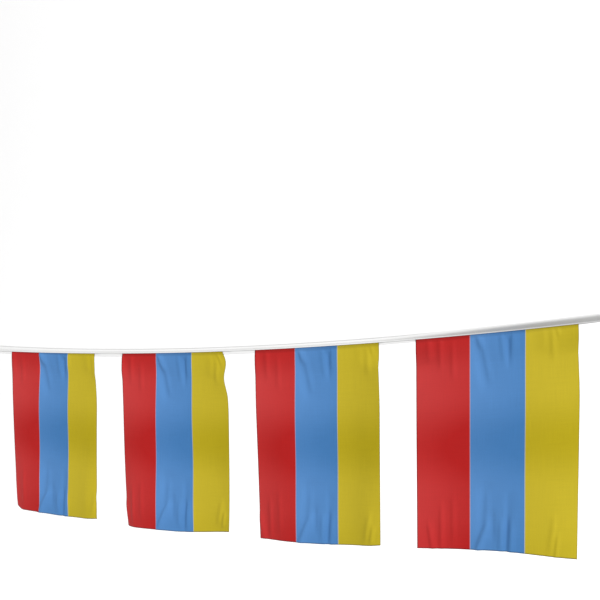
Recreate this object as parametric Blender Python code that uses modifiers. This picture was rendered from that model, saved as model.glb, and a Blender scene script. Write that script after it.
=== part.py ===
"""A string of flag bunting, hung between two ends.

Four printed cloth flags hang from one header tape. The tape is a strip folded
lengthwise over the top edges of the flags and sewn through, so each flag's top
sits between the tape's short front leg and its deeper back leg.

Frame: +X runs along the string, with flag 1 at -X; the printed fronts face -Y;
+Z is up. The origin is on the tape's top edge, halfway along the string.
"""

import bmesh
import bpy
import numpy as np
from math import cos, pi, sin

# Flags; each one's cut width is in its row of the table below
FLAG_HEIGHT = 0.299
CLOTH = 0.001
FLAG_COLUMNS = 24
FLAG_ROWS = 26
ROW_CROWDING = 0.09

# Header tape: a strip folded over the flags' top edges. It is folded a little off its
# middle, so the back leg is the deeper one, by less towards the right.
TAPE_SHEET = 0.001
TAPE_FRONT_LEG = 0.0095
TAPE_BACK_LEG = 0.0130
BACK_LEG_DRIFT = 0.0020
TAPE_TAIL = 0.060
TAPE_COLUMNS = 44
TAPE_FOLD_STEPS = 6
CLEARANCE = 0.0003

# A flag's top edge reaches this far up into the fold, and hangs flat for this far
FLAG_IN_TAPE = 0.0076
FLAT_BELOW_TOP = 0.016
RELEASE_LENGTH = 0.030

# How the string hangs: its ends rise above its middle, the right one a little more
SAG = 0.0186
LEAN = 0.0005

# How each flag is cut and sewn, left to right, seen from the front.
# width: its cut width. gap: the bare tape to its right. gather: the share by which
# the right third is eased in at the tape. ruffle: how much that share rises and falls
# down the border, where the eased cloth ripples.
SEWING_FIELDS = ("width", "gap", "gather", "ruffle")
SEWING = (
    (0.197, 0.0504, 0.12, 0.00),
    (0.202, 0.0442, 0.15, 0.06),
    (0.196, 0.0464, 0.07, 0.00),
    (0.204, 0.0000, 0.06, 0.00),
)
GATHER_FROM = 0.62
GATHER_END = 0.36
RUFFLE_LENGTH = 0.20
RUFFLE_START = 0.038

# How each flag hangs. left and right: how far that side of the cloth is turned out
# of the string's line, in degrees, at its top and foot; the left border stands back
# where positive, and the right border forward where negative. edge: a tighter turn
# of the outer few centimetres at the foot, with the same signs. bow: how far the
# middle stands back. swing: how far each lower corner hangs forward. lift: how far
# that side of the foot is raised. curl: how far the very corner turns up. Bow, swing,
# lift and curl are in metres.
HANG_FIELDS = ("left_top", "left_foot", "left_edge", "right_top", "right_foot", "right_edge",
               "bow", "left_swing", "right_swing", "left_lift", "right_lift", "left_curl")
HANG = (
    (0, 9, 20, 1, -16, 35, 0.0009, -0.0002, -0.0010, -0.0020, 0.0051, 0.0070),
    (-3, 16, 19, -5, -11, -12, -0.0011, 0.0069, -0.0122, -0.0022, 0.0070, 0.0000),
    (-1, 30, -22, -10, -25, 35, 0.0038, -0.0049, -0.0072, -0.0013, 0.0052, 0.0000),
    (8, -13, 2, 8, 14, 10, -0.0020, -0.0237, -0.0063, -0.0003, -0.0100, 0.0000),
)
LEFT_REACH = 0.45
RIGHT_REACH = 0.40
EDGE_REACH = 0.16
RIGHT_LIFT_REACH = 0.38
LIFT_FROM = 0.80
CURL_REACH = 0.09
CURL_FROM = 0.93

# The cloth's slow wave down its height: it leans out, in and out again, and dies
# away over this share of the width at each side border
WAVE_DEPTH = 0.0008
WAVE_LENGTH = 0.48
WAVE_START = 0.25
WAVE_BORDER = 0.14

# Gathers that run down from the tape and up from the foot, as shares of the width
# and height; a positive depth is a trough and a negative one a ridge, in metres.
CREASE_FIELDS = ("across", "top", "across_end", "end", "width", "depth")
CREASES = (
    (0.145, 0.03, 0.145, 0.12, 0.009, 0.0012),
    (0.234, 0.05, 0.230, 0.20, 0.009, 0.0009),
    (0.372, 0.01, 0.450, 0.22, 0.009, 0.0018),
    (0.555, 0.04, 0.555, 0.16, 0.009, -0.0012),
    (0.578, 0.01, 0.585, 0.13, 0.008, 0.0012),
    (0.850, 0.04, 0.868, 0.14, 0.010, 0.0010),
    (0.060, 0.87, 0.035, 0.98, 0.010, 0.0012),
    (0.150, 0.83, 0.150, 0.95, 0.009, 0.0012),
    (0.450, 0.76, 0.378, 0.97, 0.009, 0.0018),
    (0.555, 0.78, 0.555, 0.95, 0.009, -0.0012),
    (0.578, 0.87, 0.578, 0.98, 0.008, 0.0012),
    (0.878, 0.82, 0.850, 0.95, 0.010, 0.0010),
)

PARTS = "flag_bunting"

WHITE = (0.86, 0.86, 0.85, 1.0)
RED = (0.52, 0.035, 0.033, 1.0)


def named_rows(fields, rows):
    """Each row of a table as a dictionary of its named columns."""
    return [dict(zip(fields, row)) for row in rows]


FLAGS = [
    {**sewing, **hang}
    for sewing, hang in zip(named_rows(SEWING_FIELDS, SEWING), named_rows(HANG_FIELDS, HANG))
]
RUN = sum(flag["width"] + flag["gap"] for flag in FLAGS)
HALF_RUN = RUN / 2


def ease(t):
    """Rise smoothly from 0 to 1 while t goes from 0 to 1."""
    t = np.clip(t, 0.0, 1.0)
    return t * t * (3 - 2 * t)


def string_height(along):
    """Height of the tape's top edge: a shallow sag, with straight tails past the flags."""
    inner = np.clip(along / HALF_RUN, -1.0, 1.0)
    past = along / HALF_RUN - inner
    slope = 2 * SAG * inner + LEAN
    return SAG * inner**2 + LEAN * inner + slope * past


def beyond(start, end, t):
    """Share of the way from start to end, eased at both."""
    return ease((t - start) / (end - start))


def flag_turn(flag, u, v):
    """Angle, in radians, by which the cloth leaves the string's line in plan."""
    left = flag["left_top"] + (flag["left_foot"] - flag["left_top"]) * v
    right = flag["right_top"] + (flag["right_foot"] - flag["right_top"]) * v
    left = left * beyond(LEFT_REACH, 0, u)
    right = right * beyond(1 - RIGHT_REACH, 1, u)
    left = left + flag["left_edge"] * v**2 * beyond(EDGE_REACH, 0, u)
    right = right + flag["right_edge"] * v**2 * beyond(1 - EDGE_REACH, 1, u)
    bow_slope = flag["bow"] * 4 / flag["width"] * (1 - 2 * u) * beyond(0, 0.35, v)
    return np.radians(right - left) + np.arctan(bow_slope)


def flag_take_up(flag, u, v):
    """Share by which the cloth's width is taken up where it is eased into the tape."""
    share = flag["gather"] - flag["ruffle"] * np.sin(2 * pi * (v - RUFFLE_START) / RUFFLE_LENGTH)
    return share * beyond(GATHER_END, 0, v) * beyond(GATHER_FROM, GATHER_FROM + 0.1, u)


def crease_depth(width, u, v):
    """Depth of all the gathers at a place on a flag, positive towards the back."""
    depth = np.zeros(np.broadcast(u, v).shape)
    for crease in named_rows(CREASE_FIELDS, CREASES):
        middle = (crease["top"] + crease["end"]) / 2
        half = (crease["end"] - crease["top"]) / 2
        share = np.clip((v - crease["top"]) / (2 * half), 0.0, 1.0)
        line = crease["across"] + (crease["across_end"] - crease["across"]) * share
        off_line = (u - line) * width / crease["width"]
        off_middle = (v - middle) / half
        depth = depth + crease["depth"] * np.exp(-off_line**2 - off_middle**4)
    return depth


def flag_grid(flag, start):
    """Points of a hanging flag's middle surface, row by row from its top edge."""
    width = flag["width"]
    u = np.linspace(0, 1, FLAG_COLUMNS + 1)[None, :]
    even = np.linspace(0, 1, FLAG_ROWS + 1)[:, None]
    v = even - ROW_CROWDING * np.sin(2 * pi * even)
    down = v * FLAG_HEIGHT
    free = beyond(FLAT_BELOW_TOP, FLAT_BELOW_TOP + RELEASE_LENGTH, down)

    between = (u[:, 1:] + u[:, :-1]) / 2
    turn = flag_turn(flag, between, v) * free
    step = width / FLAG_COLUMNS * (1 - flag_take_up(flag, between, v))
    edge = np.zeros((FLAG_ROWS + 1, 1))
    x = np.hstack((edge, np.cumsum(np.cos(turn) * step, axis=1)))
    y = np.hstack((edge, np.cumsum(np.sin(turn) * step, axis=1)))
    middle = FLAG_COLUMNS // 2
    x = x - x[:, middle:middle + 1] + start + width / 2
    y = y - y[:, middle:middle + 1]

    swing = (flag["left_swing"] * (1 - u) + flag["right_swing"] * u) * ease(v)
    wave = -WAVE_DEPTH * np.sin(2 * pi * (v - WAVE_START) / WAVE_LENGTH)
    wave = wave * beyond(0, WAVE_BORDER, u) * beyond(1, 1 - WAVE_BORDER, u)
    y = y + (wave + crease_depth(width, u, v) - swing) * free

    lift = flag["left_lift"] * beyond(EDGE_REACH, 0, u)
    lift = lift + flag["right_lift"] * beyond(1 - RIGHT_LIFT_REACH, 1, u)
    top = string_height(x[0]) - TAPE_FRONT_LEG + FLAG_IN_TAPE
    curl = flag["left_curl"] * beyond(CURL_REACH, 0, u) * beyond(CURL_FROM, 1, v)
    z = top - down + lift * beyond(LIFT_FROM, 1, v) + curl
    return np.stack((x, y, z), axis=-1)


def tape_grid():
    """Points of the tape's middle surface: front leg's foot, over the fold, back leg's foot."""
    along = np.linspace(-HALF_RUN - TAPE_TAIL, HALF_RUN + TAPE_TAIL, TAPE_COLUMNS + 1)
    top = string_height(along)
    radius = CLOTH / 2 + CLEARANCE + TAPE_SHEET / 2
    centre = top - TAPE_SHEET / 2 - radius
    back_leg = TAPE_BACK_LEG - BACK_LEG_DRIFT * along / HALF_RUN

    line = [(-radius, top - TAPE_FRONT_LEG)]
    for step in range(TAPE_FOLD_STEPS + 1):
        angle = pi * step / TAPE_FOLD_STEPS
        line.append((-radius * cos(angle), centre + radius * sin(angle)))
    line.append((radius, top - back_leg))
    return np.stack([np.stack((along, np.full_like(along, y), z), axis=-1) for y, z in line])


def principled(name, colour, roughness):
    """A plain cloth material."""
    material = bpy.data.materials.new(name)
    material.use_nodes = True
    shader = material.node_tree.nodes["Principled BSDF"]
    shader.inputs["Base Color"].default_value = colour
    shader.inputs["Roughness"].default_value = roughness
    shader.inputs["Metallic"].default_value = 0.0
    return material


def cloth_sheet(name, points, thickness, material, collection):
    """A sheet of cloth: a grid laid on the points, given its thickness with Solidify."""
    rows, columns = points.shape[0] - 1, points.shape[1] - 1
    mesh = bpy.data.meshes.new(name)
    grid = bmesh.new()
    bmesh.ops.create_grid(grid, x_segments=columns, y_segments=rows, size=0.5)
    for vertex in grid.verts:
        column = round((vertex.co.x + 0.5) * columns)
        row = round((0.5 - vertex.co.y) * rows)
        vertex.co = points[row, column]
    grid.to_mesh(mesh)
    grid.free()
    mesh.shade_smooth()
    mesh.materials.append(material)

    sheet = bpy.data.objects.new(name, mesh)
    solidify = sheet.modifiers.new("Thickness", "SOLIDIFY")
    solidify.thickness = thickness
    solidify.offset = 0.0
    solidify.use_even_offset = True
    collection.objects.link(sheet)
    return sheet


def build():
    """Clear the scene and make the tape and its flags."""
    for old in list(bpy.data.objects):
        bpy.data.objects.remove(old, do_unlink=True)
    parts = bpy.data.collections.new(PARTS)
    bpy.context.scene.collection.children.link(parts)

    tape_cloth = principled("tape_cloth", WHITE, 0.75)
    cloth_sheet("tape", tape_grid(), TAPE_SHEET, tape_cloth, parts)

    start = -HALF_RUN
    for number, flag in enumerate(FLAGS, start=1):
        print_cloth = principled(f"flag_cloth_{number}", RED, 0.80)
        cloth_sheet(f"flag_{number}", flag_grid(flag, start), CLOTH, print_cloth, parts)
        start += flag["width"] + flag["gap"]


build()
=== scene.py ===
"""A string of flag bunting: four striped cloth flags sewn into one folded tape.

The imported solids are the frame, and every sheet hangs where its solid hangs. Sizes are
in metres: +X runs along the string, the printed fronts face -Y, +Z is up, and the
origin is on the tape's top edge, halfway along.
"""

from math import cos, pi, radians, sin

import bmesh
import bpy
import numpy as np
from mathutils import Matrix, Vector


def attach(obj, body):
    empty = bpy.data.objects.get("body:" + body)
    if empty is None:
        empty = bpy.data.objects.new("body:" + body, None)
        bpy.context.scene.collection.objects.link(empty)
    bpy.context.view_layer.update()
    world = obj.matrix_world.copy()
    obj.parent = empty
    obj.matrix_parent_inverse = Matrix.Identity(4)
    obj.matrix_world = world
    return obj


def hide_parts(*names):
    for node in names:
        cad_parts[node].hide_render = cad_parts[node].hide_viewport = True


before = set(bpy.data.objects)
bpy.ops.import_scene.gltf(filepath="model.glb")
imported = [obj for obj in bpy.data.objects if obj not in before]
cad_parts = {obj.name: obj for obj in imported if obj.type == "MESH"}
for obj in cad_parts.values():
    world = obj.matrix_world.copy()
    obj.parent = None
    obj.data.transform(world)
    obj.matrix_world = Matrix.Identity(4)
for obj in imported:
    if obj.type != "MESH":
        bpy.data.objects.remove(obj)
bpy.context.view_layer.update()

# The flags. Each is one piece of thin polyester, cut about 20 cm wide and 30 cm high,
# printed in three upright stripes and sewn by its top edge into the tape. All are cut
# from one cloth, so their creases repeat, but each border hangs a little differently.
FLAG_HEIGHT = 0.299
CLOTH = 0.0003
FLAG_COLUMNS = 220
FLAG_ROWS = 176
FLAG_IN_TAPE = 0.0076
TAPE_FRONT_LEG = 0.0095
FLAT_BELOW_TOP = 0.016
RELEASE_LENGTH = 0.030
CREASED_FROM = 0.015
TROUGHS_FROM = 0.0118
TROUGHS_FULL = 0.0205
SAG = 0.0186
LEAN = 0.0005

# From the left: each flag's cut width and the bare tape after it, in metres, and the
# shares of its width that are gathered, and rippled, at its upper right border.
SEWING_FIELDS = ("width", "gap", "gather", "ruffle")
SEWING = (
    (0.197, 0.0504, 0.12, 0.00),
    (0.202, 0.0442, 0.15, 0.06),
    (0.196, 0.0464, 0.07, 0.00),
    (0.204, 0.0000, 0.06, 0.00),
)
GATHER_FROM = 0.62
GATHER_EASE = 0.1
GATHER_END = 0.36
RUFFLE_LENGTH = 0.20
RUFFLE_START = 0.038

# How far each flag's print is shifted, in metres, and how its creases are spread across
# it, stretched down it and deepened, as factors.
CLOTH_FIELDS = ("print_shift", "crease_spread", "crease_stretch", "crease_strength")
CLOTHS = (
    (0.0000, 1.40, 0.97, 1.35),
    (0.0000, 1.20, 0.93, 1.25),
    (0.0000, 1.18, 0.97, 1.10),
    (0.0032, 1.00, 1.00, 1.05),
)

# How each flag hangs: the turns of its two sides and of their very edges in degrees,
# then its bow, swings, lifts and the curl of its left foot corner in metres.
HANG_FIELDS = ("left_top", "left_foot", "left_edge", "right_top", "right_foot", "right_edge",
               "bow", "left_swing", "right_swing", "left_lift", "right_lift", "left_curl")
HANG = (
    (0, 9, 20, 1, -16, 35, 0.0009, -0.0002, -0.0010, -0.0020, 0.0051, 0.0050),
    (-3, 16, 19, -5, -11, -12, -0.0011, 0.0069, -0.0122, -0.0022, 0.0082, 0.0000),
    (-1, 30, -22, -10, -25, 35, 0.0038, -0.0049, -0.0072, -0.0013, 0.0066, 0.0000),
    (8, -13, 2, 8, 14, 10, -0.0020, -0.0237, -0.0063, -0.0003, -0.0100, 0.0000),
)
LEFT_REACH = 0.45
RIGHT_REACH = 0.40
EDGE_REACH = 0.16
BOW_REACH = 0.35
LEFT_LIFT_REACH = 0.35
RIGHT_LIFT_REACH = 0.50
RIGHT_LIFT_EASE = 1.6
LIFT_FROM = 0.80
CURL_REACH = 0.12
CURL_FROM = 0.93

# A slow wave down the cloth between its borders, this many metres deep.
WAVE_DEPTH = 0.0008
WAVE_LENGTH = 0.48
WAVE_START = 0.25
WAVE_BORDER = 0.14

# The creases, first those under the tape and then those at the foot: where each starts
# and ends as shares of the flag's width and height, then how wide it is to its left and
# right and how deep it is towards the back, in metres.
CREASE_FIELDS = ("across", "top", "across_end", "end", "left", "right", "depth")
CREASES = (
    (0.084, -0.01, 0.090, 0.13, 0.0050, 0.0039, -0.0013),
    (0.160, 0.00, 0.164, 0.16, 0.0036, 0.0033, -0.0013),
    (0.240, 0.05, 0.242, 0.21, 0.0034, 0.0035, -0.0010),
    (0.376, -0.02, 0.418, 0.09, 0.0029, 0.0055, -0.0018),
    (0.428, 0.07, 0.474, 0.24, 0.0031, 0.0047, -0.0009),
    (0.394, 0.06, 0.450, 0.27, 0.0072, 0.0150, 0.0018),
    (0.534, 0.00, 0.556, 0.15, 0.0031, 0.0031, -0.0008),
    (0.580, -0.02, 0.585, 0.17, 0.0029, 0.0029, 0.0014),
    (0.606, -0.02, 0.608, 0.12, 0.0029, 0.0055, -0.0010),
    (0.795, 0.01, 0.797, 0.12, 0.0067, 0.0047, -0.0009),
    (0.842, 0.02, 0.854, 0.16, 0.0043, 0.0039, -0.0012),
    (0.858, -0.02, 0.884, 0.07, 0.0022, 0.0030, -0.0009),
    (0.078, 0.88, 0.106, 1.02, 0.0031, 0.0047, -0.0016),
    (0.164, 0.80, 0.164, 1.01, 0.0036, 0.0035, -0.0015),
    (0.240, 0.76, 0.242, 0.97, 0.0034, 0.0035, -0.0010),
    (0.440, 0.70, 0.418, 0.92, 0.0072, 0.0150, 0.0019),
    (0.460, 0.74, 0.450, 0.91, 0.0034, 0.0043, -0.0008),
    (0.452, 0.88, 0.378, 1.03, 0.0036, 0.0055, -0.0026),
    (0.490, 0.82, 0.488, 0.96, 0.0045, 0.0030, 0.0009),
    (0.540, 0.86, 0.534, 1.00, 0.0031, 0.0031, -0.0011),
    (0.582, 0.74, 0.580, 0.91, 0.0035, 0.0060, 0.0011),
    (0.580, 0.85, 0.570, 1.03, 0.0029, 0.0026, 0.0014),
    (0.604, 0.86, 0.596, 1.03, 0.0031, 0.0047, -0.0011),
    (0.856, 0.84, 0.828, 0.99, 0.0039, 0.0035, -0.0014),
    (0.878, 0.91, 0.862, 1.01, 0.0025, 0.0030, -0.0015),
)


def named_rows(fields, rows):
    """Each row of a table as a dictionary of its named columns."""
    return [dict(zip(fields, row)) for row in rows]


flags = [
    {**sewing, **hang, **cloth}
    for sewing, hang, cloth in zip(named_rows(SEWING_FIELDS, SEWING),
                                   named_rows(HANG_FIELDS, HANG),
                                   named_rows(CLOTH_FIELDS, CLOTHS))
]
half_run = sum(flag["width"] + flag["gap"] for flag in flags) / 2


def beyond(start, end, t):
    """Share of the way from start to end, eased at both."""
    t = np.clip((t - start) / (end - start), 0.0, 1.0)
    return t * t * (3 - 2 * t)


def string_height(along):
    """Height of the tape's top edge: a shallow sag, with straight tails past the flags."""
    inner = np.clip(along / half_run, -1.0, 1.0)
    past = along / half_run - inner
    slope = 2 * SAG * inner + LEAN
    return SAG * inner**2 + LEAN * inner + slope * past


def flag_turn(flag, u, v):
    """Angle, in radians, by which the cloth leaves the string's line in plan."""
    left = flag["left_top"] + (flag["left_foot"] - flag["left_top"]) * v
    right = flag["right_top"] + (flag["right_foot"] - flag["right_top"]) * v
    left = left * beyond(LEFT_REACH, 0, u)
    right = right * beyond(1 - RIGHT_REACH, 1, u)
    left = left + flag["left_edge"] * v**2 * beyond(EDGE_REACH, 0, u)
    right = right + flag["right_edge"] * v**2 * beyond(1 - EDGE_REACH, 1, u)
    bow_slope = flag["bow"] * 4 / flag["width"] * (1 - 2 * u) * beyond(0, BOW_REACH, v)
    return np.radians(right - left) + np.arctan(bow_slope)


def flag_take_up(flag, u, v):
    """Share by which the cloth's width is taken up where it is eased into the tape."""
    ripple = np.sin(2 * pi * (v - RUFFLE_START) / RUFFLE_LENGTH)
    share = flag["gather"] - flag["ruffle"] * ripple
    right_side = beyond(GATHER_FROM, GATHER_FROM + GATHER_EASE, u)
    return share * beyond(GATHER_END, 0, v) * right_side


def crease_depth(flag, u, v):
    """Depth of all the creases at a place on a flag, positive towards the back."""
    u = 0.5 + (u - 0.5) / flag["crease_spread"]
    v = 0.5 + (v - 0.5) / flag["crease_stretch"]
    depth = np.zeros(np.broadcast(u, v).shape)
    for crease in named_rows(CREASE_FIELDS, CREASES):
        middle = (crease["top"] + crease["end"]) / 2
        half = (crease["end"] - crease["top"]) / 2
        share = np.clip((v - crease["top"]) / (2 * half), 0.0, 1.0)
        line = crease["across"] + (crease["across_end"] - crease["across"]) * share
        side = np.where(u < line, crease["left"], crease["right"])
        off_line = (u - line) * flag["width"] / side
        off_middle = (v - middle) / half
        depth = depth + crease["depth"] * np.exp(-off_line**2 - off_middle**4)
    return depth * flag["crease_strength"]


def flag_points(flag, start):
    """Points of a hanging flag's middle surface, row by row from its top edge."""
    width = flag["width"]
    u = np.linspace(0, 1, FLAG_COLUMNS + 1)[None, :]
    v = np.linspace(0, 1, FLAG_ROWS + 1)[:, None]
    down = v * FLAG_HEIGHT
    free = beyond(FLAT_BELOW_TOP, FLAT_BELOW_TOP + RELEASE_LENGTH, down)

    between = (u[:, 1:] + u[:, :-1]) / 2
    turn = flag_turn(flag, between, v) * free
    step = width / FLAG_COLUMNS * (1 - flag_take_up(flag, between, v))
    edge = np.zeros((FLAG_ROWS + 1, 1))
    x = np.hstack((edge, np.cumsum(np.cos(turn) * step, axis=1)))
    y = np.hstack((edge, np.cumsum(np.sin(turn) * step, axis=1)))
    middle = FLAG_COLUMNS // 2
    x = x - x[:, middle:middle + 1] + start + width / 2
    y = y - y[:, middle:middle + 1]

    swing = (flag["left_swing"] * (1 - u) + flag["right_swing"] * u) * beyond(0, 1, v)
    wave = -WAVE_DEPTH * np.sin(2 * pi * (v - WAVE_START) / WAVE_LENGTH)
    wave = wave * beyond(0, WAVE_BORDER, u) * beyond(1, 1 - WAVE_BORDER, u)
    creases = crease_depth(flag, u, v)
    past_front_leg = beyond(FLAG_IN_TAPE, CREASED_FROM, down)
    past_back_leg = beyond(TROUGHS_FROM, TROUGHS_FULL, down)
    creases = creases * np.where(creases > 0, past_back_leg, past_front_leg)
    y = y + (wave - swing) * free + creases

    lift = flag["left_lift"] * beyond(LEFT_LIFT_REACH, 0, u)
    right_share = np.clip(1 - (1 - u) / RIGHT_LIFT_REACH, 0, 1) ** RIGHT_LIFT_EASE
    lift = lift + flag["right_lift"] * right_share
    top = string_height(x[0]) - TAPE_FRONT_LEG + FLAG_IN_TAPE
    curl = flag["left_curl"] * beyond(CURL_REACH, 0, u) * beyond(CURL_FROM, 1, v)
    z = top - down + lift * beyond(LIFT_FROM, 1, v) + curl
    return np.stack((x, y, z), axis=-1)


def cloth_sheet(name, points, across, down, thickness, materials):
    """A sheet of cloth on these points, with its flat size in metres as its UV map."""
    rows, columns = points.shape[0] - 1, points.shape[1] - 1
    mesh = bpy.data.meshes.new(name)
    grid = bmesh.new()
    bmesh.ops.create_grid(grid, x_segments=columns, y_segments=rows, size=0.5)
    flat = grid.loops.layers.uv.new("flat")
    for face in grid.faces:
        for loop in face.loops:
            column = round((loop.vert.co.x + 0.5) * columns)
            row = round((0.5 - loop.vert.co.y) * rows)
            loop[flat].uv = (across[column], down[row])
    for vertex in grid.verts:
        column = round((vertex.co.x + 0.5) * columns)
        row = round((0.5 - vertex.co.y) * rows)
        vertex.co = points[row, column]
    grid.to_mesh(mesh)
    grid.free()
    mesh.shade_smooth()
    for material in materials:
        mesh.materials.append(material)

    sheet = bpy.data.objects.new(name, mesh)
    bpy.context.scene.collection.objects.link(sheet)
    solidify = sheet.modifiers.new("Thickness", "SOLIDIFY")
    solidify.thickness = thickness
    solidify.offset = 0.0
    solidify.use_even_offset = True
    solidify.material_offset = len(materials) - 1
    solidify.material_offset_rim = len(materials) - 1
    return sheet


class Value:
    """A number or colour inside a material's nodes; sums written with it add nodes."""

    def __init__(self, tree, socket=None):
        self.tree = tree
        self.socket = socket

    def node(self, kind, inputs, output=0, **settings):
        """A node of this kind with its settings and inputs, as one of its outputs."""
        made = self.tree.nodes.new("ShaderNode" + kind)
        for setting, choice in settings.items():
            setattr(made, setting, choice)
        for name, given in inputs.items():
            if isinstance(given, Value):
                self.tree.links.new(given.socket, made.inputs[name])
            else:
                made.inputs[name].default_value = given
        return Value(self.tree, made.outputs[output])

    def maths(self, operation, *others):
        """This number and any others through one Math node."""
        return self.node("Math", dict(enumerate((self, *others))), operation=operation)

    def __add__(self, other):
        return self.maths("ADD", other)

    __radd__ = __add__

    def __sub__(self, other):
        return self.maths("SUBTRACT", other)

    def __rsub__(self, other):
        return self.node("Math", {0: other, 1: self}, operation="SUBTRACT")

    def __mul__(self, other):
        return self.maths("MULTIPLY", other)

    __rmul__ = __mul__

    def wave(self, length):
        """A sine of this number, from -1 to 1, that repeats at this length."""
        return (self * (2 * pi / length)).maths("SINE")

    def rise(self, start, end):
        """0 before start, 1 after end, and smooth between them."""
        sides = {"Value": self, "From Min": start, "From Max": end}
        return self.node("MapRange", sides, interpolation_type="SMOOTHSTEP")

    def vector(self, operation, other):
        """This place or colour and another through one Vector Math node."""
        return self.node("VectorMath", {0: self, 1: other}, operation=operation)

    def part(self, axis):
        """One number of a place: 0 for X, 1 for Y and 2 for Z."""
        return self.node("SeparateXYZ", {0: self}, output=axis)

    def grey(self):
        """This number as all three parts of a colour."""
        return self.node("CombineXYZ", {0: self, 1: self, 2: self})

    def even(self, colour):
        """One even colour, to mix others into."""
        made = self.node("RGB", {})
        made.socket.default_value = colour
        return made

    def mixed(self, factor, colour):
        """This colour turned towards another by a factor from 0 to 1."""
        sockets = {0: factor, 6: self, 7: colour}
        return self.node("Mix", sockets, output=2, data_type="RGBA")

    def noise(self, place, scale, detail=2.0):
        """Soft noise from 0 to 1 at a place, with this many lumps to the metre."""
        return self.node("TexNoise", {"Vector": place, "Scale": scale, "Detail": detail})


def cloth_material(name, roughness, sheen, specular=0.25):
    """A new cloth material: its shader, and its nodes to write sums with."""
    material = bpy.data.materials.new(name)
    material.use_nodes = True
    shader = material.node_tree.nodes["Principled BSDF"]
    shader.inputs["Roughness"].default_value = roughness
    shader.inputs["Specular IOR Level"].default_value = specular
    shader.inputs["Sheen Weight"].default_value = sheen
    shader.inputs["Sheen Roughness"].default_value = 0.45
    return material, shader, Value(material.node_tree)


def lay_on(shader, colour, height, strength, depth):
    """Lead a cloth's colour and the relief of its threads into its shader."""
    relief = {"Strength": strength, "Distance": depth, "Height": height}
    bump = colour.node("Bump", relief)
    colour.tree.links.new(colour.socket, shader.inputs["Base Color"])
    colour.tree.links.new(bump.socket, shader.inputs["Normal"])


# The inks and the cloth under them, how much paler its back is, and how much weaker the
# painted sheen and shade bands are on its back.
STRIPES = 3
RED = (0.512, 0.0165, 0.0160, 1.0)
BLUE = (0.064, 0.214, 0.498, 1.0)
YELLOW = (0.500, 0.393, 0.0105, 1.0)
BARE_CLOTH = (0.83, 0.83, 0.82, 1.0)
BACK_PALE = 0.07
BACK_PAINTED_BANDS = 0.3

# The ink's edges, which wander a little and leave a hairline of barer cloth between.
INK_BLEED = 0.0010
INK_WANDER = 0.0004
INK_WANDER_SCALE = 900.0
HAIRLINE = 0.0003
HAIRLINE_PALE = 0.35

# The weave: its threads, their uneven thickness in both directions and broad, faint
# clouds, with scales in lumps to the metre, then what each adds to the light and relief.
THREAD = 0.00034
UNEVEN_ACROSS = 1500.0
UNEVEN_ALONG = 25.0
CLOUD_SCALE = 28.0
THREAD_SHADE = 0.05
UNEVEN_SHADE = 0.14
CLOUD_SHADE = 0.04
THREAD_RELIEF = 0.5
UNEVEN_RELIEF = 0.6

# Painted shade: a dark line along the cut edges, finer at the right border, and a painted
# shadow that the tape's foot throws on the cloth just below it.
CUT_EDGE = 0.0021
EDGE_SHADE = 0.60
RIGHT_CUT_FINER = 2
SEAM_SHADE = 0.22
SEAM_SHADE_START = 0.0012
SEAM_SHADE_REACH = 0.0062

# Painted sheen and shade in soft bands: painted sheen above and below the middle of a flag
# and on the left of each stripe, painted shade across its middle, under the tape, at the foot
# and low on the red. The painted sheen lightens the ink and adds a painted white sheen to it.
BAND_MIDDLE = 0.51
BAND_HEIGHT = 0.23
BAND_LEAST = 0.08
BAND_GAIN = 0.70
STRIPE_SHADE = 0.52
STRIPE_SHADE_LESS_ON_YELLOW = 0.6
SEAM_BAND_SHADE = 0.28
SEAM_BAND_SHADE_END = 0.060
SEAM_BAND_SHADE_RED = 0.50
SEAM_BAND_SHADE_RED_SLOPE = 0.7
FOOT_BAND_SHADE = 0.25
FOOT_BAND_SHADE_HEIGHT = 0.050
RED_LOW_SHADE = 0.25
RED_LOW_SHADE_FROM = 0.45
RED_LOW_SHADE_FULL = 0.70
SHEEN_BAND_LIGHT = 0.18
WHITE_SHEEN_STRENGTH = 0.032
WHITE_SHEEN_LESS_ON_YELLOW = 0.45


def painted_sheen_bands(flag, across, down, in_blue, in_yellow):
    """Painted sheen and shade as a number around 0.5, from its place on the flag."""
    in_red = 1 - in_blue
    in_stripe = across * (1 / (flag["width"] / STRIPES)) - in_blue - in_yellow - 0.5
    off_middle = (down * (1 / FLAG_HEIGHT) - BAND_MIDDLE).maths("ABSOLUTE")
    sheen_and_shade = off_middle.rise(0.0, BAND_HEIGHT) * BAND_GAIN + BAND_LEAST
    sheen_and_shade = sheen_and_shade - in_stripe * (1 - in_yellow * STRIPE_SHADE_LESS_ON_YELLOW) * STRIPE_SHADE
    red_seam_shade = (SEAM_BAND_SHADE_RED - in_stripe * SEAM_BAND_SHADE_RED_SLOPE) * in_red
    seam_band_shade = (in_stripe + 0.5) * SEAM_BAND_SHADE + red_seam_shade
    sheen_and_shade = sheen_and_shade - (1 - down.rise(FLAG_IN_TAPE, SEAM_BAND_SHADE_END)) * seam_band_shade
    sheen_and_shade = sheen_and_shade - down.rise(FLAG_HEIGHT - FOOT_BAND_SHADE_HEIGHT, FLAG_HEIGHT) * FOOT_BAND_SHADE
    low = down.rise(RED_LOW_SHADE_FROM * FLAG_HEIGHT, RED_LOW_SHADE_FULL * FLAG_HEIGHT)
    return sheen_and_shade - low * in_red * RED_LOW_SHADE


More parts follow.
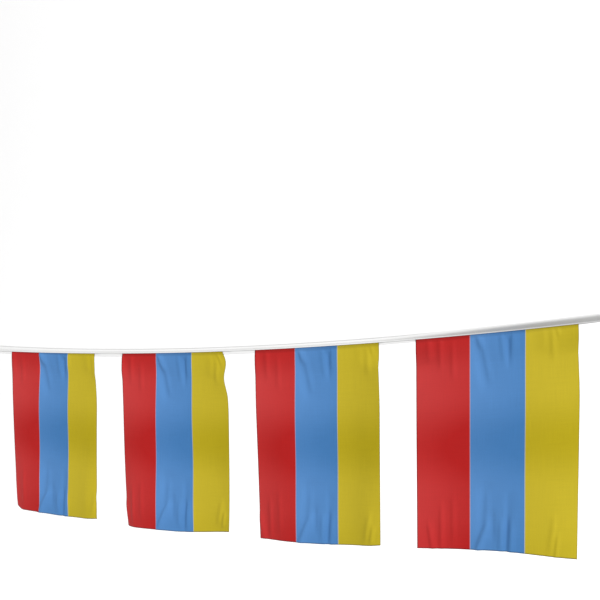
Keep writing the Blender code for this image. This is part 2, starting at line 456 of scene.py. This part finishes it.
def printed_cloth(name, flag, pale, painted_bands):
    """Plain-woven polyester with its ink, as pale as its side shows, with painted sheen and
    shade bands as strong as its side shows.
    """
    material, shader, nodes = cloth_material(name, roughness=0.56, sheen=0.0, specular=0.08)
    flat = nodes.node("UVMap", {}, uv_map="flat")
    across, down = flat.part(0), flat.part(1)

    stripe = flag["width"] / STRIPES
    first, second = stripe + flag["print_shift"], 2 * stripe + flag["print_shift"]
    wander = nodes.noise(flat, INK_WANDER_SCALE) * INK_WANDER - INK_WANDER / 2
    off_first, off_second = across + wander - first, across + wander - second
    in_blue = off_first.rise(-INK_BLEED, INK_BLEED)
    in_yellow = off_second.rise(-INK_BLEED, INK_BLEED)
    colour = nodes.even(RED).mixed(in_blue, BLUE).mixed(in_yellow, YELLOW)
    off_line = off_first.maths("ABSOLUTE").maths("MINIMUM", off_second.maths("ABSOLUTE"))
    bare = 1 - off_line.rise(0, 2 * HAIRLINE)
    colour = colour.mixed(bare * HAIRLINE_PALE + pale, BARE_CLOTH)

    warp = flat.vector("MULTIPLY", (UNEVEN_ACROSS, UNEVEN_ALONG, 1.0))
    weft = flat.vector("MULTIPLY", (UNEVEN_ALONG, UNEVEN_ACROSS, 1.0))
    uneven = nodes.noise(warp, 1.0) + nodes.noise(weft, 1.0) - 1.0
    cloudy = nodes.noise(flat, CLOUD_SCALE) - 0.5
    threads = across.wave(THREAD) * down.wave(THREAD)

    # Painted shade: a dark line along the cut edges and the foot, finer at the right border.
    right = (flag["width"] - across) * RIGHT_CUT_FINER
    border = across.maths("MINIMUM", FLAG_HEIGHT - down).maths("MINIMUM", right)
    edge_shade = (1 - border.rise(0, CUT_EDGE)) * EDGE_SHADE
    # Painted shadow that the tape's foot throws on the cloth just below it.
    shade_end = FLAG_IN_TAPE + SEAM_SHADE_REACH
    under_tape = 1 - down.rise(FLAG_IN_TAPE + SEAM_SHADE_START, shade_end)
    # Painted sheen and shade in soft bands, weaker on the back.
    sheen_and_shade = painted_sheen_bands(flag, across, down, in_blue, in_yellow)
    sheen_and_shade = ((sheen_and_shade - 0.5) * painted_bands + 0.5).maths("MAXIMUM", 0.0)
    light = threads * THREAD_SHADE + uneven * UNEVEN_SHADE + cloudy * CLOUD_SHADE + 1.0
    # Painted shade along the edges, a painted shadow under the tape, and the painted sheen
    # and shade bands.
    light = light - edge_shade - under_tape * SEAM_SHADE + (sheen_and_shade - 0.5) * SHEEN_BAND_LIGHT
    # A painted white sheen where the painted sheen is strong, less on the yellow.
    painted_white_sheen = sheen_and_shade * (1 - in_yellow * WHITE_SHEEN_LESS_ON_YELLOW) * WHITE_SHEEN_STRENGTH
    colour = colour.vector("MULTIPLY", light.grey()).vector("ADD", painted_white_sheen.grey())
    height = threads * THREAD_RELIEF + uneven * UNEVEN_RELIEF
    lay_on(shader, colour, height, strength=0.25, depth=0.00005)
    return material


start = -half_run
for number, flag in enumerate(flags, start=1):
    across = np.linspace(0, flag["width"], FLAG_COLUMNS + 1)
    down = np.linspace(0, FLAG_HEIGHT, FLAG_ROWS + 1)
    front = printed_cloth(f"printed_front_{number}", flag, pale=0.0, painted_bands=1.0)
    back = printed_cloth(f"printed_back_{number}", flag, pale=BACK_PALE, painted_bands=BACK_PAINTED_BANDS)
    node = f"flag_{number}"
    sheet = cloth_sheet(f"printed_flag_{number}", flag_points(flag, start), across, down,
                        CLOTH, (front, back))
    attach(sheet, "root")
    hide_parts(node)
    start += flag["width"] + flag["gap"]

# The header tape. It is one strip of white woven polyester tape, folded lengthwise over
# the flags' top edges, so its short front leg and deeper back leg grip them. Along the
# last flag its fold stands full and round; before it and at its end it is pressed flat.
TAPE_BACK_LEG = 0.0130
BACK_LEG_DRIFT = 0.0020
FRONT_LEG_LEAST = 0.0080
FRONT_LEG_ENDS = 0.0025
FRONT_LEG_DRIFT = -0.0004
TAPE_TAIL = 0.060
TAPE_SHEET = 0.0004
TAPE_COLUMNS = 420
LEG_ROWS = 26
ROWS_CLOSER_AT_FOLD = 1.5
SEAM_ABOVE_FOOT = 0.0014

# The fold's shape: the two legs' clearances, a crown at the top, a small roll under it
# where it is pressed flat, a belly that is rounder where it stands full, a flared foot.
LEG_CLEARANCE = 0.00003
FLAG_CLEARANCE = 0.0001
GRIP_EASE = 0.005
CROWN_HEIGHT = 0.0010
ROLL_DEPTH = 0.0009
ROLL_HEIGHT = 0.0024
BELLY_START = 0.9
BELLY_FLAT = 0.0008
BELLY_FULL = 0.0040
BELLY_LOW = 1.2
BELLY_HIGHER_WHERE_FULL = 0.58
FULL_FROM = 0.20
FULL_AT = 0.43
PRESSED_END = 0.032
FOOT_FLARE = 0.0003
BACK_SHARE = 0.6

# The tape's own white, dulled a little by its uneven threads and its ribs.
TAPE_WHITE = (0.92, 0.92, 0.915, 1.0)
TAPE_DULL = (0.70, 0.70, 0.70, 1.0)
TAPE_RIB = 0.0008
RIB_DULL = 0.03
TAPE_UNEVEN_SCALE = 260.0
TAPE_UNEVEN_DULL = 0.12

# Painted shade on the tape: on its front down to the foot, where it is lighter, much weaker
# on its back, and a painted dark line along the roll where the fold is pressed flat.
TAPE_SHADE_PRESSED = 0.02
TAPE_SHADE_FULL = 0.40
TAPE_SHADE_EARLIER = 0.02
TAPE_SHADE_TOP = -0.0015
TAPE_SHADE_DEEP = 0.0055
FOOT_START = 0.0018
FOOT_END = 0.0008
FOOT_SHADE_LESS = 0.6
BACK_FROM = 0.0012
BACK_SHADE_LESS = 0.8
ROLL_LINE_SHADE = 0.06
LINE_ON_ROLL = 0.7
LINE_WIDTH = 0.0014


def gripped(along):
    """1 where a flag is between the tape's legs, and 0 where they lie on each other."""
    share, start = np.zeros_like(along), -half_run
    for flag in flags:
        end = start + flag["width"]
        past_left = beyond(start - GRIP_EASE, start, along)
        share = share + past_left * beyond(end + GRIP_EASE, end, along)
        start = end + flag["gap"]
    return share


def leg_depths(along):
    """Depths of the tape's front leg, of its back leg and of the seam through both."""
    share = along / half_run
    front = FRONT_LEG_LEAST + FRONT_LEG_ENDS * share**2 + FRONT_LEG_DRIFT * share
    back = TAPE_BACK_LEG - BACK_LEG_DRIFT * share
    return front, back, front - SEAM_ABOVE_FOOT


def leg_bulge(along, down):
    """How far a leg stands off the fold's middle plane, at a depth below the tape's top."""
    tape_end = half_run + TAPE_TAIL
    before_end = beyond(tape_end, tape_end - PRESSED_END, along)
    fullness = beyond(FULL_FROM, FULL_AT, along) * before_end
    seam = leg_depths(along)[2]
    flag_between = (CLOTH / 2 + FLAG_CLEARANCE) * gripped(along)
    closed = TAPE_SHEET / 2 + LEG_CLEARANCE + flag_between
    crown = closed * np.sqrt(np.clip(down / CROWN_HEIGHT, 0, 1))
    roll = ROLL_DEPTH * (1 - fullness) * np.sin(pi * np.clip(down / ROLL_HEIGHT, 0, 1))
    below = ROLL_HEIGHT * (1 - fullness) * BELLY_START
    share = np.clip((down - below) / (seam - below), 0, 1)
    share = share ** (BELLY_LOW - BELLY_HIGHER_WHERE_FULL * fullness)
    belly = (BELLY_FLAT + (BELLY_FULL - BELLY_FLAT) * fullness) * np.sin(pi * share)
    return crown + roll + belly + FOOT_FLARE * beyond(seam, seam + SEAM_ABOVE_FOOT, down)


def tape_points(along):
    """Points of the tape's middle surface, from front foot over the fold to back foot."""
    top = string_height(along) - TAPE_SHEET / 2
    front_leg, back_leg, _ = leg_depths(along)
    shares = np.linspace(0, 1, LEG_ROWS) ** ROWS_CLOSER_AT_FOLD
    rows, lengths = [], []
    for share in shares[::-1]:
        down = share * front_leg
        rows.append((along, -leg_bulge(along, down), top - down))
        lengths.append(TAPE_FRONT_LEG * (1 - share))
    for share in shares[1:]:
        down = share * back_leg
        rows.append((along, leg_bulge(along, down) * BACK_SHARE, top - down))
        lengths.append(TAPE_FRONT_LEG + TAPE_BACK_LEG * share)
    return np.stack([np.stack(row, axis=-1) for row in rows]), np.array(lengths)


def woven_tape(name):
    """White ribbed tape, with painted shade on its front where its fold stands full."""
    material, shader, nodes = cloth_material(name, roughness=0.62, sheen=0.15)
    flat = nodes.node("UVMap", {}, uv_map="flat")
    along, over = flat.part(0), flat.part(1)
    ribs = along.wave(TAPE_RIB) * over.wave(TAPE_RIB)
    uneven = nodes.noise(flat, TAPE_UNEVEN_SCALE)
    dull = uneven * TAPE_UNEVEN_DULL + ribs * RIB_DULL
    colour = nodes.even(TAPE_WHITE).mixed(dull, TAPE_DULL)

    # Painted shade: the front darkens below the top where the fold stands full, less at the
    # foot and on the back, with a painted dark line along the roll.
    down = (over - TAPE_FRONT_LEG).maths("ABSOLUTE")
    fullness = along.rise(FULL_FROM - TAPE_SHADE_EARLIER, FULL_AT)
    foot = down.rise(TAPE_FRONT_LEG - FOOT_START, TAPE_FRONT_LEG + FOOT_END)
    shaded = down.rise(TAPE_SHADE_TOP, TAPE_SHADE_DEEP) * (1 - foot * FOOT_SHADE_LESS)
    off_roll = (down - LINE_ON_ROLL * ROLL_HEIGHT).maths("ABSOLUTE")
    line = (1 - off_roll.rise(0, LINE_WIDTH)) * (1 - fullness)
    behind = over.rise(TAPE_FRONT_LEG, TAPE_FRONT_LEG + BACK_FROM)
    behind = behind * (1 - down.rise(TAPE_FRONT_LEG - FOOT_START, TAPE_FRONT_LEG))
    # grey is how strong the painted shade is.
    grey = fullness * (TAPE_SHADE_FULL - TAPE_SHADE_PRESSED) * (1 - behind * BACK_SHADE_LESS) + TAPE_SHADE_PRESSED
    light = 1 - shaded * grey - line * ROLL_LINE_SHADE
    colour = colour.vector("MULTIPLY", light.grey())
    height = ribs * THREAD_RELIEF + uneven * UNEVEN_RELIEF
    lay_on(shader, colour, height, strength=0.3, depth=0.0001)
    return material


along = np.linspace(-half_run - TAPE_TAIL, half_run + TAPE_TAIL, TAPE_COLUMNS + 1)
points, lengths = tape_points(along)
tape = cloth_sheet("header_tape", points, along, lengths, TAPE_SHEET,
                   (woven_tape("woven_tape"),))
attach(tape, "root")
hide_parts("tape")

# The stitches. One seam of white polyester thread runs the string's whole length, through
# the tape's two legs and the flags between them. It shows as short, slightly uneven
# threads that lie on the front leg and on the back leg.
STITCH_PITCH = 0.0032
STITCH_LENGTH = 0.0025
STITCH_WIDTH = 0.00034
SEAM_END = 0.004
SEAM_POINTS = 600

# How unevenly the threads lie: their least and most slant in radians, and the factors
# on their length, width and height.
LEAST_SLANT = (0.0, 0.0, -0.02)
MOST_SLANT = (0.0, 0.0, 0.12)
SLANT_SEED = 3
LEAST_THREAD = (0.90, 0.85, 0.80)
MOST_THREAD = (1.08, 1.10, 1.15)
THREAD_SEED = 7

# The thread's white, and the dull white between its turns.
THREAD_WHITE = (0.90, 0.90, 0.895, 1.0)
THREAD_DULL = (0.62, 0.62, 0.62, 1.0)
THREAD_TWIST = 0.0005
TWIST_DULL = 0.10


def seam_lines(name):
    """A mesh of two bare lines where the seam runs, with the way out of the cloth on each."""
    reach = half_run + TAPE_TAIL - SEAM_END
    along = np.linspace(-reach, reach, SEAM_POINTS)
    seam = leg_depths(along)[2]
    stand_off = leg_bulge(along, seam)
    height = string_height(along) - TAPE_SHEET / 2 - seam
    front = np.stack((along, -stand_off - TAPE_SHEET / 2, height), axis=-1)
    back = np.stack((along, stand_off * BACK_SHARE + TAPE_SHEET / 2, height), axis=-1)
    front_end = SEAM_POINTS - 1
    edges = [(step, step + 1) for step in range(2 * SEAM_POINTS - 1) if step != front_end]
    mesh = bpy.data.meshes.new(name)
    mesh.from_pydata(np.concatenate((front, back)).tolist(), edges, [])
    outward = mesh.attributes.new("outward", "FLOAT_VECTOR", "POINT")
    ways = [(0.0, -1.0, 0.0)] * SEAM_POINTS + [(0.0, 1.0, 0.0)] * SEAM_POINTS
    outward.data.foreach_set("vector", np.array(ways, dtype=np.float32).ravel())
    return mesh


def stitch_tree(name, material):
    """Geometry nodes that lay threads along lines, with their pitch and sizes as inputs."""
    tree = bpy.data.node_groups.new(name, "GeometryNodeTree")
    tree.interface.new_socket("Lines", in_out="INPUT", socket_type="NodeSocketGeometry")
    for size in ("Pitch", "Length", "Width"):
        tree.interface.new_socket(size, in_out="INPUT", socket_type="NodeSocketFloat")
    tree.interface.new_socket("Stitches", in_out="OUTPUT", socket_type="NodeSocketGeometry")

    def add(kind, inputs, **settings):
        """A node of this kind with its settings and inputs, as its first output."""
        made = tree.nodes.new(kind)
        for setting, choice in settings.items():
            setattr(made, setting, choice)
        for socket, given in inputs.items():
            if isinstance(given, bpy.types.NodeSocket):
                tree.links.new(given, made.inputs[socket])
            else:
                made.inputs[socket].default_value = given
        return made.outputs[0] if made.outputs else made

    def between(least, most, seed):
        """A random vector for each thread, between these two."""
        return add("FunctionNodeRandomValue", {0: least, 1: most, "Seed": seed},
                   data_type="FLOAT_VECTOR")

    group = tree.nodes.new("NodeGroupInput").outputs
    lines = add("GeometryNodeMeshToCurve", {"Mesh": group["Lines"]})
    places = add("GeometryNodeResampleCurve", {"Curve": lines, "Length": group["Pitch"]},
                 mode="LENGTH")
    lump = add("GeometryNodeMeshUVSphere", {"Segments": 8, "Rings": 5, "Radius": 0.5})
    size = add("ShaderNodeCombineXYZ",
               {0: group["Length"], 1: group["Width"], 2: group["Width"]})
    thread = add("GeometryNodeTransform", {"Geometry": lump, "Scale": size})
    thread = add("GeometryNodeSetShadeSmooth", {"Geometry": thread})
    tangent = add("GeometryNodeInputTangent", {})
    outward = add("GeometryNodeInputNamedAttribute", {"Name": "outward"},
                  data_type="FLOAT_VECTOR")
    turn = add("FunctionNodeAlignRotationToVector", {"Vector": tangent}, axis="X")
    turn = add("FunctionNodeAlignRotationToVector", {"Rotation": turn, "Vector": outward},
               axis="Z", pivot_axis="X")
    slant = between(LEAST_SLANT, MOST_SLANT, SLANT_SEED)
    slant = add("FunctionNodeEulerToRotation", {0: slant})
    turn = add("FunctionNodeRotateRotation", {"Rotation": turn, "Rotate By": slant},
               rotation_space="LOCAL")
    uneven = between(LEAST_THREAD, MOST_THREAD, THREAD_SEED)
    laid = add("GeometryNodeInstanceOnPoints",
               {"Points": places, "Instance": thread, "Rotation": turn, "Scale": uneven})
    laid = add("GeometryNodeRealizeInstances", {0: laid})
    laid = add("GeometryNodeSetMaterial", {"Geometry": laid, "Material": material})
    add("NodeGroupOutput", {"Stitches": laid})
    return tree


def sewing_thread(name):
    """White twisted thread, a little darker between its turns."""
    material, shader, nodes = cloth_material(name, roughness=0.5, sheen=0.1)
    place = nodes.node("TexCoord", {}, output="Object")
    twist = (place.part(0) + place.part(2)).wave(THREAD_TWIST)
    colour = nodes.even(THREAD_WHITE).mixed(twist * TWIST_DULL + TWIST_DULL, THREAD_DULL)
    lay_on(shader, colour, twist, strength=0.4, depth=0.00004)
    return material


stitches = bpy.data.objects.new("stitches", seam_lines("seam_lines"))
bpy.context.scene.collection.objects.link(stitches)
tree = stitch_tree("stitches_on_lines", sewing_thread("sewing_thread"))
sewn = stitches.modifiers.new("Sewn", "NODES")
sewn.node_group = tree
sizes = {"Pitch": STITCH_PITCH, "Length": STITCH_LENGTH, "Width": STITCH_WIDTH}
for socket in tree.interface.items_tree:
    if socket.name in sizes:
        sewn[socket.identifier] = sizes[socket.name]
graph = bpy.context.evaluated_depsgraph_get()
stitch_mesh = bpy.data.meshes.new_from_object(stitches.evaluated_get(graph))
stitches.modifiers.remove(sewn)
stitches.data = stitch_mesh
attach(stitches, "root")
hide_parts("tape")
tape_length = 2 * (half_run + TAPE_TAIL)

# The floor and backdrop. They are one sheet of pale studio paper, which lies far below
# the string and is swept up far behind it in one even curve.
FLOOR_BELOW = 1.25
FLOOR_FRONT = -0.5
WALL_BEHIND = 2.6
WALL_TOP = 4.0
SWEEP_RADIUS = 1.0
SWEEP_STEPS = 16
PAPER_HALF_WIDTH = 6.0
PAPER_WHITE = (0.92, 0.92, 0.92, 1.0)
PAPER_GLOW = 0.15

paper_mesh = bpy.data.meshes.new("studio_paper")
paper_path = bmesh.new()
profile = [(FLOOR_FRONT, -FLOOR_BELOW)]
for step in range(SWEEP_STEPS + 1):
    angle = pi / 2 * step / SWEEP_STEPS
    profile.append((WALL_BEHIND - SWEEP_RADIUS + SWEEP_RADIUS * sin(angle),
                    -FLOOR_BELOW + SWEEP_RADIUS * (1 - cos(angle))))
profile.append((WALL_BEHIND, WALL_TOP))
line = [paper_path.verts.new((-PAPER_HALF_WIDTH, y, z)) for y, z in profile]
edges = [paper_path.edges.new(pair) for pair in zip(line, line[1:])]
swept = bmesh.ops.extrude_edge_only(paper_path, edges=edges)
moved = [item for item in swept["geom"] if isinstance(item, bmesh.types.BMVert)]
bmesh.ops.translate(paper_path, verts=moved, vec=(2 * PAPER_HALF_WIDTH, 0, 0))
bmesh.ops.recalc_face_normals(paper_path, faces=paper_path.faces)
paper_path.to_mesh(paper_mesh)
paper_path.free()
paper_mesh.shade_smooth()
paper = bpy.data.objects.new("studio_paper", paper_mesh)
bpy.context.scene.collection.objects.link(paper)
paper_material = bpy.data.materials.new("pale_paper")
paper_material.use_nodes = True
paper_shader = paper_material.node_tree.nodes["Principled BSDF"]
paper_shader.inputs["Base Color"].default_value = PAPER_WHITE
paper_shader.inputs["Roughness"].default_value = 0.9
paper_shader.inputs["Specular IOR Level"].default_value = 0.0
paper_shader.inputs["Emission Color"].default_value = (1.0, 1.0, 1.0, 1.0)
paper_shader.inputs["Emission Strength"].default_value = PAPER_GLOW
paper_mesh.materials.append(paper_material)

# The light. One large, square soft box stands in front of the string, high up and to its
# right, and a pale, even room fills the shadows.
BOX_PLACE = (6.6, -7.2, 6.8)
BOX_SIZE = 4.4
BOX_POWER = 1020.0
BOX_AIM = (0.0, 0.0, -0.15)
ROOM_LIGHT = 0.57

box_light = bpy.data.lights.new("key_light", "AREA")
box_light.shape = "SQUARE"
box_light.size = BOX_SIZE
box_light.energy = BOX_POWER
soft_box = bpy.data.objects.new("key_light", box_light)
soft_box.location = BOX_PLACE
facing = Vector(BOX_AIM) - Vector(BOX_PLACE)
soft_box.rotation_euler = facing.to_track_quat("-Z", "Y").to_euler()
bpy.context.scene.collection.objects.link(soft_box)
world = bpy.data.worlds.new("pale_room")
bpy.context.scene.world = world
world.use_nodes = True
room = world.node_tree.nodes["Background"]
room.inputs["Color"].default_value = (1.0, 1.0, 1.0, 1.0)
room.inputs["Strength"].default_value = ROOM_LIGHT

# The camera. It is level, below the string and to its right, near enough that the flags'
# sides show. Colours are kept as they are lit, with no film-like roll-off.
CAMERA_PLACE = (0.34055, -0.705, -0.0943)
CAMERA_TURN = radians(19.0)
CAMERA_SHIFT = (-0.0008, 0.1767)

bpy.context.scene.view_settings.view_transform = "Standard"
camera_data = bpy.data.cameras.new("camera")
camera_data.lens = 30.0
camera_data.sensor_width = 36.0
camera_data.shift_x, camera_data.shift_y = CAMERA_SHIFT
camera = bpy.data.objects.new("camera", camera_data)
camera.location = CAMERA_PLACE
camera.rotation_euler = (radians(90), 0, CAMERA_TURN)
bpy.context.scene.collection.objects.link(camera)
bpy.context.scene.camera = camera
